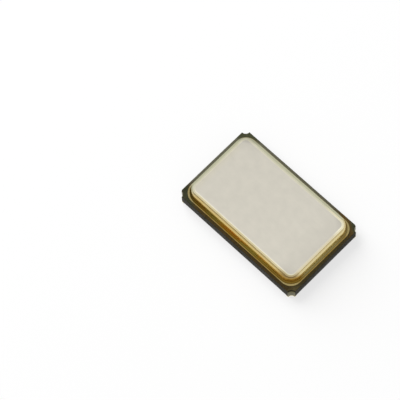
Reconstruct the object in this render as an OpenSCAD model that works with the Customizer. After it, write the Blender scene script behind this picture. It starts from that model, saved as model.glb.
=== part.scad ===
// Crystal oscillator in a four-pad ceramic package for surface mounting.
// Millimetres, +Z up. The origin is at the middle of the soldering face, with X along the length.

/* [Ceramic base] */
// Length of the ceramic base
body_l = 5.0; // [4.7:0.1:5.6]
// Width of the ceramic base
body_w = 3.10; // [3.0:0.05:3.6]
// Thickness of the floor under the die
floor_t = 0.16; // [0.12:0.01:0.24]
// Height of the bonding step above the floor
step_h = 0.11; // [0.09:0.01:0.15]
// Height of the crystal ledge above the bonding step
ledge_h = 0.09; // [0.07:0.01:0.14]
// Height of the rim above the crystal ledge
rim_h = 0.07; // [0.05:0.01:0.16]
// Thickness of the wall around the cavity
wall_t = 0.55; // [0.52:0.01:0.62]
// Corner radius of the cavity
cavity_r = 0.2; // [0.1:0.02:0.26]
// Corner radius of the pocket that holds the die
pocket_r = 0.1; // [0.05:0.01:0.14]
// Width of the bonding step along the sides of the pocket
side_step_w = 0.30; // [0.26:0.01:0.36]
// Width of the bonding step in front of the crystal ledge
end_step_w = 0.30; // [0.26:0.01:0.36]
// Width of the crystal ledge
ledge_w = 0.42; // [0.38:0.01:0.5]
// Radius of the quarter-round notch in each corner
notch_r = 0.17; // [0.14:0.01:0.25]

/* [Soldering terminals] */
// Length of a soldering pad
pad_l = 1.12; // [1.0:0.02:1.3]
// Width of a soldering pad
pad_w = 0.70; // [0.6:0.02:0.8]
// Thickness of a soldering pad
pad_t = 0.02; // [0.015:0.005:0.04]
// Distance from a pad to the end of the base
pad_end_gap = 0.11; // [0.08:0.01:0.16]
// Distance from a pad to the side of the base
pad_side_gap = 0.13; // [0.08:0.01:0.16]
// Size of the cut-off corner that marks the first pad
mark_cut = 0.28; // [0.2:0.02:0.36]
// Width of the metal collar around a corner notch
collar_w = 0.06; // [0.04:0.01:0.1]
// Thickness of the metal that lines a corner notch
lining_t = 0.02; // [0.015:0.005:0.04]
// Height of the lined part of a corner notch
lining_h = 0.27; // [0.15:0.01:0.34]

/* [Inner conductors] */
// Diameter of a metal-filled via
via_d = 0.10; // [0.08:0.01:0.12]
// Width of a buried trace and of its bonding finger
trace_w = 0.12; // [0.1:0.01:0.14]
// Thickness of the printed metal inside the package
film_t = 0.01; // [0.01:0.005:0.02]
// Distance from the end of a bonding finger to the edge of its step
finger_gap = 0.04; // [0.03:0.01:0.06]
// Distance between the middles of the two crystal leads
lead_pitch = 0.95; // [0.8:0.05:1.1]
// Length of a crystal mounting pad
mount_l = 0.32; // [0.26:0.02:0.36]
// Width of a crystal mounting pad
mount_w = 0.40; // [0.3:0.02:0.5]

/* [Seal ring] */
// Distance from the edge of the base to the metallised rim
rim_gap = 0.10; // [0.06:0.005:0.11]
// Outer corner radius of the metallised rim
rim_corner = 0.40; // [0.36:0.01:0.46]
// Thickness of the metallised rim
rim_t = 0.015; // [0.01:0.005:0.03]
// Distance from the cavity to the metallised rim
rim_edge = 0.01; // [0.005:0.005:0.02]
// Thickness of the brazing metal under the ring
braze_t = 0.015; // [0.01:0.005:0.03]
// Distance from the edge of the base to the ring
ring_gap = 0.19; // [0.14:0.005:0.22]
// Width of the ring's section
ring_w = 0.28; // [0.24:0.01:0.32]
// Height of the ring
ring_h = 0.27; // [0.18:0.01:0.4]
// Outer corner radius of the ring
ring_r = 0.40; // [0.34:0.01:0.5]
// Radius of the ring's upper outer edge
ring_edge_r = 0.02; // [0.01:0.005:0.03]
// Share of the rim outside the ring that the brazing fillet covers
fillet_share = 0.7; // [0.6:0.05:0.9]
// Smallest thickness at the edges of the brazing fillet
fillet_edge = 0.012; // [0.01:0.001:0.016]

/* [Lid] */
// Distance from the outside of the ring to the edge of the lid
lid_gap = 0.08; // [0.05:0.005:0.1]
// Corner radius of the lid
lid_corner = 0.24; // [0.2:0.01:0.3]
// Thickness of the lid's welded border
border_t = 0.05; // [0.03:0.005:0.06]
// Width of the lid's welded border
border_w = 0.055; // [0.04:0.005:0.1]
// Height of the lid's flat top above its border
plateau_h = 0.02; // [0.015:0.005:0.05]
// Width of the sloping edge of the flat top
bevel_w = 0.03; // [0.02:0.005:0.05]

/* [Oscillator die] */
// Length of the die
die_l = 1.10; // [0.9:0.05:1.4]
// Width of the die
die_w = 0.90; // [0.8:0.05:1.1]
// Thickness of the die
die_t = 0.11; // [0.08:0.01:0.13]
// Distance from the die to the bonding step in front of the crystal ledge
die_gap = 0.25; // [0.15:0.05:0.5]
// Thickness of the adhesive under the die
glue_t = 0.01; // [0.01:0.005:0.02]
// Distance from the edge of the die to the edge of its adhesive
glue_edge = 0.03; // [0.02:0.01:0.05]
// Distance from the edge of the die to the edge of its metal floor pad
floor_pad_edge = 0.08; // [0.05:0.01:0.12]
// Side of a square bonding pad on the die
bond_pad = 0.09; // [0.08:0.01:0.1]
// Thickness of a bonding pad on the die
bond_pad_t = 0.005; // [0.004:0.001:0.01]
// Distance from the edge of the die to the middle of a bonding pad
bond_edge = 0.08; // [0.06:0.01:0.1]
// Distance between the two bonding pads for the crystal
bond_pitch = 0.30; // [0.2:0.02:0.4]
// Diameter of the bonding wire
wire_d = 0.025; // [0.02:0.005:0.03]
// Diameter of the pressed ball and foot of a bonding wire
ball_d = 0.06; // [0.05:0.005:0.07]
// Height of the pressed ball and foot of a bonding wire
ball_h = 0.012; // [0.01:0.001:0.015]
// Rise of a bonding wire above its bonding pad
loop_h = 0.045; // [0.035:0.005:0.055]

/* [Quartz crystal] */
// Length of the quartz blank
blank_l = 3.10; // [2.7:0.05:3.4]
// Width of the quartz blank
blank_w = 1.50; // [1.3:0.05:1.8]
// Thickness of the quartz blank
blank_t = 0.08; // [0.05:0.01:0.12]
// Distance from the quartz blank to the end wall of the cavity
blank_gap = 0.08; // [0.06:0.01:0.1]
// Diameter of a dot of conductive adhesive
dot_d = 0.20; // [0.16:0.01:0.24]
// Height of a dot of conductive adhesive
dot_h = 0.035; // [0.03:0.005:0.06]
// Thickness of the electrode film
electrode_t = 0.01; // [0.005:0.001:0.012]
// Length of the electrode
electrode_l = 1.70; // [1.4:0.05:2.0]
// Width of the electrode
electrode_w = 1.00; // [0.8:0.05:1.1]
// Distance from the electrode to the free end of the blank
electrode_gap = 0.35; // [0.2:0.05:0.5]
// Length of the electrode's land over its dot of adhesive
land_l = 0.26; // [0.24:0.01:0.3]
// Width of the electrode's land and of the strip that leads to it
land_w = 0.28; // [0.24:0.01:0.32]

/* [Hidden] */

$fn = 64;
// Amount by which a cut runs past the face that it opens
cut = 0.05;
// Sides of a bonding wire, and steps along its loop
wire_sides = 10;
loop_steps = 10;

// Quadrant signs of each terminal, counted round the base from the marked pad
TERMINALS = [[-1, -1], [1, -1], [1, 1], [-1, 1]];
// Terminals whose pad is marked, and whose via also grounds the seal ring
MARKED = 0;
GROUND = 1;

// Levels, from the soldering face upwards
floor_z = pad_t + floor_t;
step_z = floor_z + step_h;
ledge_z = step_z + ledge_h;
base_top = ledge_z + rim_h;
braze_z = base_top + rim_t;
ring_z = braze_z + braze_t;
lid_z = ring_z + ring_h;

// Cavity and the pocket for the die
cavity_l = body_l - 2 * wall_t;
cavity_w = body_w - 2 * wall_t;
cavity_x = cavity_l / 2;
ledge_x = ledge_w - cavity_x;
pocket_x = ledge_x + end_step_w;
pocket_l = cavity_x - side_step_w - pocket_x;
pocket_w = cavity_w - 2 * side_step_w;

// Middle of a soldering pad, in the first quadrant
pad_x = body_l / 2 - pad_end_gap - pad_l / 2;
pad_y = body_w / 2 - pad_side_gap - pad_w / 2;

// Ring, brazing fillet and lid. At its corners, the rim reaches at least as far beyond the ring as
// along its sides, and the lid stays within the ring.
rim_r = min(rim_corner, ring_r + ring_gap - rim_gap);
ring_l = body_l - 2 * ring_gap;
ring_b = body_w - 2 * ring_gap;
fillet_w = fillet_share * (ring_gap - rim_gap);
fillet_r = fillet_w - fillet_edge;
lid_l = ring_l - 2 * lid_gap;
lid_w = ring_b - 2 * lid_gap;
lid_r = max(lid_corner, ring_r - 3 * lid_gap);
top_inset = border_w + bevel_w;

// Die, its bonding pads and the bonding fingers
die_x = pocket_x + die_gap + die_l / 2;
glue_z = floor_z + film_t;
die_z = glue_z + glue_t;
bond_z = die_z + die_t + bond_pad_t;
bond_x = [die_x - die_l / 2 + bond_edge, die_x + die_l / 2 - bond_edge];
bond_y = die_w / 2 - bond_edge;
finger_y = pocket_w / 2 + finger_gap + trace_w / 2;
finger_x = pocket_x - finger_gap - trace_w / 2;
finger_z = step_z + film_t;

// Crystal
lead_x = ledge_x - ledge_w / 2;
dot_z = ledge_z + film_t;
land_z = dot_z + dot_h;
blank_z = land_z + electrode_t;
blank_x = blank_gap - cavity_x;
electrode_x = blank_x + blank_l - electrode_gap - electrode_l;

// Start on the die and end on the step of each bonding wire
WIRES = [
    [[bond_x[0], -bond_y], [bond_x[0], -finger_y]],
    [[bond_x[1], -bond_y], [bond_x[1], -finger_y]],
    [[bond_x[1], bond_y], [bond_x[1], finger_y]],
    [[bond_x[0], bond_y], [bond_x[0], finger_y]],
    [[bond_x[0], -bond_pitch / 2], [finger_x, -lead_pitch / 2]],
    [[bond_x[0], bond_pitch / 2], [finger_x, lead_pitch / 2]]
];

// ---------- shapes used by several pieces ----------

// Rectangle with round corners, centred on the origin
module round_rect(l, w, r) {
    square([l - 2 * r, w], center = true);
    square([l, w - 2 * r], center = true);
    for (sx = [-1, 1], sy = [-1, 1])
        translate([sx * (l / 2 - r), sy * (w / 2 - r)]) circle(r);
}

// Section carried round a rectangle with round corners. In the section, x is the distance
// outwards from the rectangle and y is the height.
module sweep_round(l, w, r) {
    for (side = [[l, w, 0], [w, l, 90], [l, w, 180], [w, l, 270]])
        rotate([0, 0, side[2]])
            translate([r - side[0] / 2, side[1] / 2, 0])
                rotate([90, 0, 90]) linear_extrude(side[0] - 2 * r) children();
    for (sx = [0, 1], sy = [0, 1])
        mirror([sx, 0, 0]) mirror([0, sy, 0])
            translate([l / 2 - r, w / 2 - r, 0])
                rotate_extrude(angle = 90) translate([r, 0]) children();
}

// Printed trace between two points that share an x or a y
module trace(a, b) {
    translate([min(a[0], b[0]) - trace_w / 2, min(a[1], b[1]) - trace_w / 2, step_z])
        cube([abs(a[0] - b[0]) + trace_w, abs(a[1] - b[1]) + trace_w, film_t]);
}

// Block given by its middle in x and y, its lowest level and its size
module block(x, y, z, size) {
    translate([x - size[0] / 2, y - size[1] / 2, z]) cube(size);
}

// ---------- ceramic base ----------

// Outline of the base, with a quarter-round notch in each corner
module base_outline() {
    difference() {
        square([body_l, body_w], center = true);
        for (sx = [-1, 1], sy = [-1, 1])
            translate([sx * body_l / 2, sy * body_w / 2]) circle(notch_r);
    }
}

// Stepped cavity: the pocket for the die, the bonding steps and the space over the ledge
module cavity() {
    translate([pocket_x + pocket_l / 2, 0, floor_z])
        linear_extrude(base_top - floor_z) round_rect(pocket_l, pocket_w, pocket_r);
    translate([0, 0, step_z]) linear_extrude(base_top - step_z) intersection() {
        round_rect(cavity_l, cavity_w, cavity_r);
        translate([ledge_x, -cavity_w / 2]) square([cavity_x - ledge_x, cavity_w]);
    }
    translate([0, 0, ledge_z])
        linear_extrude(base_top + cut - ledge_z) round_rect(cavity_l, cavity_w, cavity_r);
}

module ceramic_base() {
    color([0.16, 0.15, 0.13]) difference() {
        translate([0, 0, pad_t]) linear_extrude(base_top - pad_t) base_outline();
        cavity();
        for (n = [0:3]) terminal_core(n);
        for (side = [-1, 1]) crystal_lead(side);
    }
}

// ---------- soldering terminals ----------

// Pad under the base with the collar round its notch, drawn in the first quadrant
module pad_outline(cut_corner) {
    corner = [body_l / 2, body_w / 2];
    difference() {
        union() {
            translate([pad_x, pad_y]) square([pad_l, pad_w], center = true);
            intersection() {
                translate(corner) circle(notch_r + collar_w);
                square([body_l, body_w], center = true);
            }
        }
        translate(corner) circle(notch_r - lining_t);
        if (cut_corner > 0)
            translate([pad_x - pad_l / 2, pad_y - pad_w / 2])
                polygon([[-cut, -cut], [cut_corner + cut, -cut], [-cut, cut_corner + cut]]);
    }
}

// Metal that lines a corner notch, drawn in the first quadrant
module lining_outline() {
    intersection() {
        translate([body_l / 2, body_w / 2]) difference() {
            circle(notch_r);
            circle(notch_r - lining_t);
        }
        square([body_l / 2, body_w / 2]);
    }
}

// Via above a pad and the trace from it to the bonding finger
module terminal_core(n) {
    via = [TERMINALS[n][0] * pad_x, TERMINALS[n][1] * pad_y];
    bend = [WIRES[n][1][0], via[1]];
    top = n == GROUND ? base_top : step_z;
    translate([via[0], via[1], 0]) cylinder(h = top, d = via_d);
    trace(via, bend);
    trace(bend, WIRES[n][1]);
}

module terminal(n) {
    color([0.85, 0.77, 0.42]) union() {
        mirror([TERMINALS[n][0] < 0 ? 1 : 0, 0, 0]) mirror([0, TERMINALS[n][1] < 0 ? 1 : 0, 0]) {
            linear_extrude(pad_t) pad_outline(n == MARKED ? mark_cut : 0);
            linear_extrude(lining_h) lining_outline();
        }
        terminal_core(n);
    }
}

// ---------- conductors of the crystal and the die ----------

// Bonding finger, buried trace, via and mounting pad of one side of the crystal
module crystal_lead(side) {
    y = side * lead_pitch / 2;
    color([0.85, 0.77, 0.42]) union() {
        trace([finger_x, y], [lead_x, y]);
        translate([lead_x, y, step_z]) cylinder(h = ledge_z - step_z, d = via_d);
        block(lead_x, y, ledge_z, [mount_l, mount_w, film_t]);
    }
}

module die_pad() {
    color([0.85, 0.77, 0.42])
        block(die_x, 0, floor_z, [die_l + 2 * floor_pad_edge, die_w + 2 * floor_pad_edge, film_t]);
}

// ---------- seal ring and lid ----------

module rim_metallisation() {
    color([0.84, 0.76, 0.45]) translate([0, 0, base_top]) linear_extrude(rim_t) difference() {
        round_rect(body_l - 2 * rim_gap, body_w - 2 * rim_gap, rim_r);
        round_rect(cavity_l + 2 * rim_edge, cavity_w + 2 * rim_edge, cavity_r + rim_edge);
    }
}

// Layer of brazing metal under the ring, with a hollow fillet against the ring's outer wall
module braze_section() {
    difference() {
        translate([-ring_w, 0]) square([ring_w + fillet_w, braze_t + fillet_w]);
        translate([-ring_w - cut, braze_t]) square([ring_w + cut, fillet_w + cut]);
        translate([fillet_w, braze_t + fillet_w]) circle(fillet_r);
    }
}

module braze_joint() {
    color([0.62, 0.50, 0.22]) translate([0, 0, braze_z])
        sweep_round(ring_l, ring_b, ring_r) braze_section();
}

// Section of the ring, with its upper outer edge rounded
module ring_section() {
    translate([-ring_w, 0]) {
        square([ring_w - ring_edge_r, ring_h]);
        square([ring_w, ring_h - ring_edge_r]);
    }
    translate([-ring_edge_r, ring_h - ring_edge_r]) circle(ring_edge_r);
}

module seal_ring() {
    color([0.75, 0.62, 0.30]) translate([0, 0, ring_z])
        sweep_round(ring_l, ring_b, ring_r) ring_section();
}

// Thin border that is welded to the ring, and a flat top with a sloping edge
module lid() {
    top_l = lid_l - 2 * top_inset;
    top_w = lid_w - 2 * top_inset;
    color([0.82, 0.80, 0.75]) translate([0, 0, lid_z]) {
        linear_extrude(border_t) round_rect(lid_l, lid_w, lid_r);
        translate([0, 0, border_t]) {
            linear_extrude(plateau_h) round_rect(top_l, top_w, lid_r - top_inset);
            sweep_round(top_l, top_w, lid_r - top_inset)
                polygon([[-bevel_w, 0], [bevel_w, 0], [0, plateau_h], [-bevel_w, plateau_h]]);
        }
    }
}

// ---------- oscillator die and its bonding wires ----------

module die_adhesive() {
    color([0.70, 0.70, 0.72])
        block(die_x, 0, glue_z, [die_l + 2 * glue_edge, die_w + 2 * glue_edge, glue_t]);
}

// Silicon die with its raised bonding pads
module oscillator_die() {
    color([0.30, 0.32, 0.36]) {
        block(die_x, 0, die_z, [die_l, die_w, die_t]);
        for (wire = WIRES)
            block(wire[0][0], wire[0][1], die_z + die_t, [bond_pad, bond_pad, bond_pad_t]);
    }
}

// Stations of a wire that spans the distance d: [distance along, level, slope x, slope z, radius]
function loop_station(d, a) =
    let (low = bond_z + ball_h, drop = finger_z - bond_z, rise = loop_h - ball_h)
    [d * (1 - cos(a)) / 2, low + drop * a / 180 + rise * sin(a),
     d * sin(a) / 2, drop / PI + rise * cos(a), wire_d / 2];
function stations(d) = concat(
    [[0, bond_z, 0, 1, ball_d / 2], [0, bond_z + ball_h, 0, 1, ball_d / 2]],
    [[0, bond_z + ball_h, 0, 1, wire_d / 2]],
    [for (i = [1:loop_steps - 1]) loop_station(d, 180 * i / loop_steps)],
    [[d, finger_z + ball_h, 0, -1, wire_d / 2]],
    [[d, finger_z + ball_h, 0, -1, ball_d / 2], [d, finger_z, 0, -1, ball_d / 2]]
);

// Point k of the ring at a station, for a wire that starts at a and runs along u
function ring_point(a, u, st, k) =
    let (turn = 360 * k / wire_sides, tilt = norm([st[2], st[3]]),
         along = st[0] + st[4] * cos(turn) * st[3] / tilt, side = st[4] * sin(turn))
    [a[0] + u[0] * along - u[1] * side, a[1] + u[1] * along + u[0] * side,
     st[1] - st[4] * cos(turn) * st[2] / tilt];

module bond_wire(n) {
    a = WIRES[n][0];
    span = WIRES[n][1] - a;
    rings = stations(norm(span));
    points = [for (st = rings, k = [0:wire_sides - 1]) ring_point(a, span / norm(span), st, k)];
    last = wire_sides * (len(rings) - 1);
    walls = [for (i = [0:len(rings) - 2], k = [0:wire_sides - 1])
        let (p = wire_sides * i + k, q = wire_sides * i + (k + 1) % wire_sides)
        [p, p + wire_sides, q + wire_sides, q]];
    caps = [[for (k = [0:wire_sides - 1]) k], [for (k = [wire_sides - 1:-1:0]) last + k]];
    color([0.93, 0.78, 0.35]) polyhedron(points, concat(walls, caps));
}

// ---------- quartz crystal ----------

module crystal_adhesive(side) {
    color([0.72, 0.72, 0.70])
        translate([lead_x, side * lead_pitch / 2, dot_z]) cylinder(h = dot_h, d = dot_d);
}

module quartz_blank() {
    color([0.88, 0.93, 0.95, 0.6])
        translate([blank_x, -blank_w / 2, blank_z]) cube([blank_l, blank_w, blank_t]);
}

// Film on one face of the blank, with the strip that leads to the mounted end
module electrode_film(side, z) {
    translate([electrode_x, -electrode_w / 2, z]) cube([electrode_l, electrode_w, electrode_t]);
    translate([blank_x, side * lead_pitch / 2 - land_w / 2, z])
        cube([electrode_x + land_w - blank_x, land_w, electrode_t]);
}

module lower_electrode() {
    color([0.80, 0.80, 0.80]) electrode_film(1, land_z);
}

// The upper film also wraps round the end of the blank to a land underneath
module upper_electrode() {
    top_z = blank_z + blank_t;
    color([0.80, 0.80, 0.80]) {
        electrode_film(-1, top_z);
        translate([blank_x - electrode_t, -(lead_pitch + land_w) / 2, land_z]) {
            cube([electrode_t, land_w, top_z + electrode_t - land_z]);
            cube([lead_x + land_l / 2 - blank_x + electrode_t, land_w, electrode_t]);
        }
    }
}

ceramic_base();
terminal(0);  // terminal_1
terminal(1);  // terminal_2
terminal(2);  // terminal_3
terminal(3);  // terminal_4
crystal_lead(-1);  // crystal_lead_1
crystal_lead(1);  // crystal_lead_2
die_pad();
rim_metallisation();
braze_joint();
seal_ring();
lid();
die_adhesive();
oscillator_die();
bond_wire(0);  // bond_wire_1
bond_wire(1);  // bond_wire_2
bond_wire(2);  // bond_wire_3
bond_wire(3);  // bond_wire_4
bond_wire(4);  // bond_wire_5
bond_wire(5);  // bond_wire_6
crystal_adhesive(-1);  // crystal_adhesive_1
crystal_adhesive(1);  // crystal_adhesive_2
quartz_blank();
lower_electrode();
upper_electrode();
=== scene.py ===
# %% [markdown]
# # A crystal oscillator in a ceramic package
#
# The object is a block of black ceramic, 5 mm long, with a gold-plated metal ring brazed on its rim
# and a thin nickel lid welded on the ring. Four gold terminals wrap round its lower corners. Under
# the lid are a quartz plate and a small silicon die.
#
# This lesson starts from the CAD model, in which every size is already right. It models the outside
# pieces again with Blender's own tools, because the CAD meshes have sharp edges and few faces on
# their curves. Then it gives every piece a finish built from nodes. The first cell loads the CAD
# model.

import math

import bmesh
import bpy
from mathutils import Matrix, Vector


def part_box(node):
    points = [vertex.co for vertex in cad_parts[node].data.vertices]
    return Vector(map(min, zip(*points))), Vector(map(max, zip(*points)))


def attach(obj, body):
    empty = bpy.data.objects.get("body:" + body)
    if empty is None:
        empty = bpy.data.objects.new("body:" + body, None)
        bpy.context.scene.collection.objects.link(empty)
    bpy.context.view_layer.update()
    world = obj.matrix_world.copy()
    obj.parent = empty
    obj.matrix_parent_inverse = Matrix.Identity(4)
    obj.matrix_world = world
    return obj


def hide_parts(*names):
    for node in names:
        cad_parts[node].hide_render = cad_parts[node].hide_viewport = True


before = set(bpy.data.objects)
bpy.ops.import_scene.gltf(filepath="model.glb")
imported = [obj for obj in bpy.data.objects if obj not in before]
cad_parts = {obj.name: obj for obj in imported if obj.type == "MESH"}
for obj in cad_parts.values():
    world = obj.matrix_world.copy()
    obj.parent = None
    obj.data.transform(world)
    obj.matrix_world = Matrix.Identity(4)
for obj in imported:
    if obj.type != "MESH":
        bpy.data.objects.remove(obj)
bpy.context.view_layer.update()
print("CAD nodes:", ", ".join(sorted(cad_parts)))

# %% [markdown]
# ## Work in millimetres, then shrink
#
# Blender counts in metres, and the thinnest layer here is a hundredth of a millimetre. Several tools
# weld points that lie closer than that, so a piece modelled at its true size would lose its edges.
# The cure is to model at a thousand times the size, where 1 unit stands for 1 mm, and to shrink the
# finished mesh. The next cell reads the box of each outer CAD node in millimetres, so every new
# piece starts at the right size and in the right place.

# %% Sizes of the outer pieces, in millimetres
MM = 0.001
CIRCLE_POINTS = 96


class Box:
    """The box of a CAD node in millimetres, centred on the Z axis."""

    def __init__(self, node):
        low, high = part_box(node)
        self.low, self.high = low / MM, high / MM
        self.length, self.width, self.height = self.high - self.low


base = Box("ceramic_base")
rim = Box("rim_metallisation")
braze = Box("braze_joint")
ring = Box("seal_ring")
lid = Box("lid")
for name, box in (("base", base), ("rim", rim), ("braze", braze), ("ring", ring), ("lid", lid)):
    print(f"{name}: {box.length:.3f} x {box.width:.3f} x {box.height:.3f} mm")

# %% [markdown]
# ## Plates, and picking by place
#
# Nearly every piece here is a rectangle with round corners that is given some height. By hand, that
# is a plane whose four corners are bevelled as vertices, followed by extrude and inset. The helper
# `round_plate` does the first part and leaves the object in edit mode, with its face selected.
# `pick` selects points, edges or faces by their place, as one would with a box selection, and
# `raise_by` extrudes what is selected straight up.

# %% Start a plate, and pick parts of it
def round_plate(name, length, width, corner, level, middle=(0, 0), steps=16):
    """A flat rectangle with round corners, left in edit mode with its face selected."""
    bpy.ops.object.select_all(action="DESELECT")
    place = (middle[0], middle[1], level)
    bpy.ops.mesh.primitive_plane_add(size=1, location=place)
    plate = bpy.context.object
    plate.name = name
    bpy.ops.transform.resize(value=(length, width, 1), center_override=place)
    bpy.ops.object.transform_apply(location=True, rotation=False, scale=True)
    bpy.ops.object.mode_set(mode="EDIT")
    bpy.ops.mesh.select_all(action="SELECT")
    if corner > 0:
        bpy.ops.mesh.bevel(offset=corner, segments=steps, affect="VERTICES", profile=0.5)
    return plate


def pick(piece, kind, test):
    """Select the verts, edges or faces whose corners all pass the test, and count them."""
    bpy.ops.mesh.select_mode(type=kind[:-1].upper())
    bpy.ops.mesh.select_all(action="DESELECT")
    mesh = bmesh.from_edit_mesh(piece.data)
    found = 0
    for part in getattr(mesh, kind):
        corners = [part] if kind == "verts" else part.verts
        if all(test(*corner.co) for corner in corners):
            part.select_set(True)
            found += 1
    bmesh.update_edit_mesh(piece.data)
    return found


def raise_by(height):
    """Extrude what is selected straight up."""
    bpy.ops.mesh.extrude_region_move(TRANSFORM_OT_translate={"value": (0, 0, height)})


# %% [markdown]
# ## Closing and softening
#
# A mesh that was extruded and inset often has points that lie on each other, and faces that point
# the wrong way. `close_up` merges the points first and then turns all faces outwards, because an
# open seam would spoil the second step. No real edge is perfectly sharp, so `soften` adds a Bevel
# modifier and applies it: the narrow round edges catch the light. `report` prints what came out.

# %% Close a shape, and soften its edges
def close_up(piece):
    """Merge doubled points, turn all faces outwards and go back to object mode."""
    bpy.ops.mesh.select_mode(type="VERT")
    bpy.ops.mesh.select_all(action="SELECT")
    bpy.ops.mesh.remove_doubles(threshold=0.0002)
    bpy.ops.mesh.normals_make_consistent(inside=False)
    bpy.ops.object.mode_set(mode="OBJECT")
    return piece


def apply_modifier(piece, kind, **settings):
    """Add a modifier with these settings and apply it at once."""
    bpy.ops.object.select_all(action="DESELECT")
    piece.select_set(True)
    bpy.context.view_layer.objects.active = piece
    modifier = piece.modifiers.new(kind.title(), kind)
    for name, value in settings.items():
        setattr(modifier, name, value)
    bpy.ops.object.modifier_apply(modifier=modifier.name)
    return piece


def soften(piece, width, segments=2, angle=35):
    """Round every edge that is sharper than the angle."""
    return apply_modifier(piece, "BEVEL", width=width, segments=segments,
                          limit_method="ANGLE", angle_limit=math.radians(angle))


def report(piece):
    """Print what a piece measures, and whether its skin is closed."""
    mesh = bmesh.new()
    mesh.from_mesh(piece.data)
    closed = all(edge.is_manifold for edge in mesh.edges)
    print(f"{piece.name}: {len(mesh.faces)} faces, {mesh.calc_volume(signed=True):.4f} mm3,",
          "closed" if closed else "OPEN")
    mesh.free()
    return piece


# %% [markdown]
# ## The outline of the ceramic base
#
# The base is four sheets of alumina, pressed together and fired into one block. Each corner has a
# quarter-round notch, because it was cut through a punched hole when the blocks were snapped apart.
# The notch could be cut with a Boolean, but the outline is easy to draw: a circle is placed on one
# corner, only its quarter inside the block is kept, and that arc is mirrored to the other corners.
# Four straight edges join the arcs, and one face fills the outline.

# %% Draw the outline with its four notches
NOTCH = 0.17
TINY = 0.0005


def mirror_copy(factors):
    """Duplicate all that is in edit mode, mirrored about the middle of the part."""
    bpy.ops.mesh.select_all(action="SELECT")
    bpy.ops.mesh.duplicate()
    bpy.ops.transform.resize(value=factors, center_override=(0, 0, 0))


bpy.ops.object.select_all(action="DESELECT")
bpy.ops.mesh.primitive_circle_add(vertices=CIRCLE_POINTS, radius=NOTCH,
                                  location=(base.high.x, base.high.y, base.low.z))
body = bpy.context.object
body.name = "ceramic_body"
bpy.ops.object.transform_apply(location=True, rotation=False, scale=False)
bpy.ops.object.mode_set(mode="EDIT")
pick(body, "verts", lambda x, y, z: x > base.high.x + TINY or y > base.high.y + TINY)
bpy.ops.mesh.delete(type="VERT")
mirror_copy((-1, 1, 1))
mirror_copy((1, -1, 1))
for side in (lambda x, y, z: x > base.high.x - TINY, lambda x, y, z: x < base.low.x + TINY,
             lambda x, y, z: y > base.high.y - TINY, lambda x, y, z: y < base.low.y + TINY):
    pick(body, "verts", side)
    bpy.ops.mesh.edge_face_add()
bpy.ops.mesh.select_all(action="SELECT")
bpy.ops.mesh.edge_face_add()
print("Points in the outline:", len(bmesh.from_edit_mesh(body.data).verts))

# %% [markdown]
# ## Layer lines and snapped edges
#
# Where two of the fired sheets meet, a fine line runs round the block. Each line is a cut made with
# bisect, widened to a narrow band with a bevel, and its middle loop is pulled in by a few
# thousandths of a millimetre. The upper and lower edges get a small chamfer: the sheet was scored
# there before it was fired, so that the blocks snap apart cleanly.

# %% Extrude the block, draw its layer lines and chamfer its edges
LAYER_LEVELS = (0.18, 0.29, 0.38)
LINE_WIDTH = 0.007
LINE_DEPTH = 0.004
CHAMFER = 0.014

raise_by(base.height)
close_up(body)
bpy.ops.object.mode_set(mode="EDIT")
for level in LAYER_LEVELS:
    bpy.ops.mesh.select_mode(type="EDGE")
    bpy.ops.mesh.select_all(action="SELECT")
    bpy.ops.mesh.bisect(plane_co=(0, 0, level), plane_no=(0, 0, 1))
    bpy.ops.mesh.bevel(offset=LINE_WIDTH, segments=2, profile=0.5)
    pick(body, "verts", lambda x, y, z: abs(z - level) < TINY)
    bpy.ops.transform.shrink_fatten(value=-LINE_DEPTH, use_even_offset=True)
for level in (base.low.z, base.high.z):
    pick(body, "edges", lambda x, y, z: abs(z - level) < TINY)
    bpy.ops.mesh.bevel(offset=CHAMFER, segments=2, profile=0.5)
close_up(body)
report(body)

# %% [markdown]
# ## The stepped cavity
#
# Each sheet above the floor has a larger opening punched in it, so the cavity has steps: the die
# lies on the floor, its wires end on the first step and the crystal is glued on the next. Here a
# Boolean is the plain choice, because three simple blocks cut all the steps at once. Each block is a
# rounded plate that is raised well above the rim, so that no face of it lies in a face of the body.

# %% Cut the cavity with three blocks
WALL, LEDGE, STEP = 0.55, 0.42, 0.30
CAVITY_CORNER, POCKET_CORNER = 0.20, 0.10
ABOVE = 0.2

cavity_length, cavity_width = base.length - 2 * WALL, base.width - 2 * WALL
ledge_x = LEDGE - cavity_length / 2
pocket_length, pocket_width = cavity_length - LEDGE - 2 * STEP, cavity_width - 2 * STEP
pocket_x = ledge_x + STEP + pocket_length / 2


def cavity_block(length, width, corner, level, x=0, from_x=None):
    """A block that cuts one step of the cavity."""
    block = round_plate("block", length, width, corner, level, (x, 0))
    if from_x is not None:
        bpy.ops.mesh.bisect(plane_co=(from_x, 0, level), plane_no=(1, 0, 0), clear_inner=True)
        bpy.ops.mesh.select_all(action="SELECT")
    raise_by(base.high.z + ABOVE - level)
    return close_up(block)


def cut_away(piece, block, operation="DIFFERENCE"):
    """Cut the block out of the piece, or merge the two, and remove the block."""
    apply_modifier(piece, "BOOLEAN", object=block, operation=operation, solver="EXACT")
    bpy.data.objects.remove(block, do_unlink=True)


floor_level, step_level, ledge_level = LAYER_LEVELS
cut_away(body, cavity_block(pocket_length, pocket_width, POCKET_CORNER, floor_level, pocket_x))
cut_away(body, cavity_block(cavity_length, cavity_width, CAVITY_CORNER, step_level, 0, ledge_x))
cut_away(body, cavity_block(cavity_length, cavity_width, CAVITY_CORNER, ledge_level))
report(body)

# %% [markdown]
# ## The plated rim
#
# Metal ink is printed on the rim before firing, and is then plated with nickel and gold. It is a
# flat frame whose outer and inner corners have different radii, so an inset alone can't make it.
# Two outlines with the same number of points are drawn instead, and bridged.

# %% Bridge two outlines and give them the thickness of the plating
RIM_CORNER = 0.40
RIM_EDGE = 0.01

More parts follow.
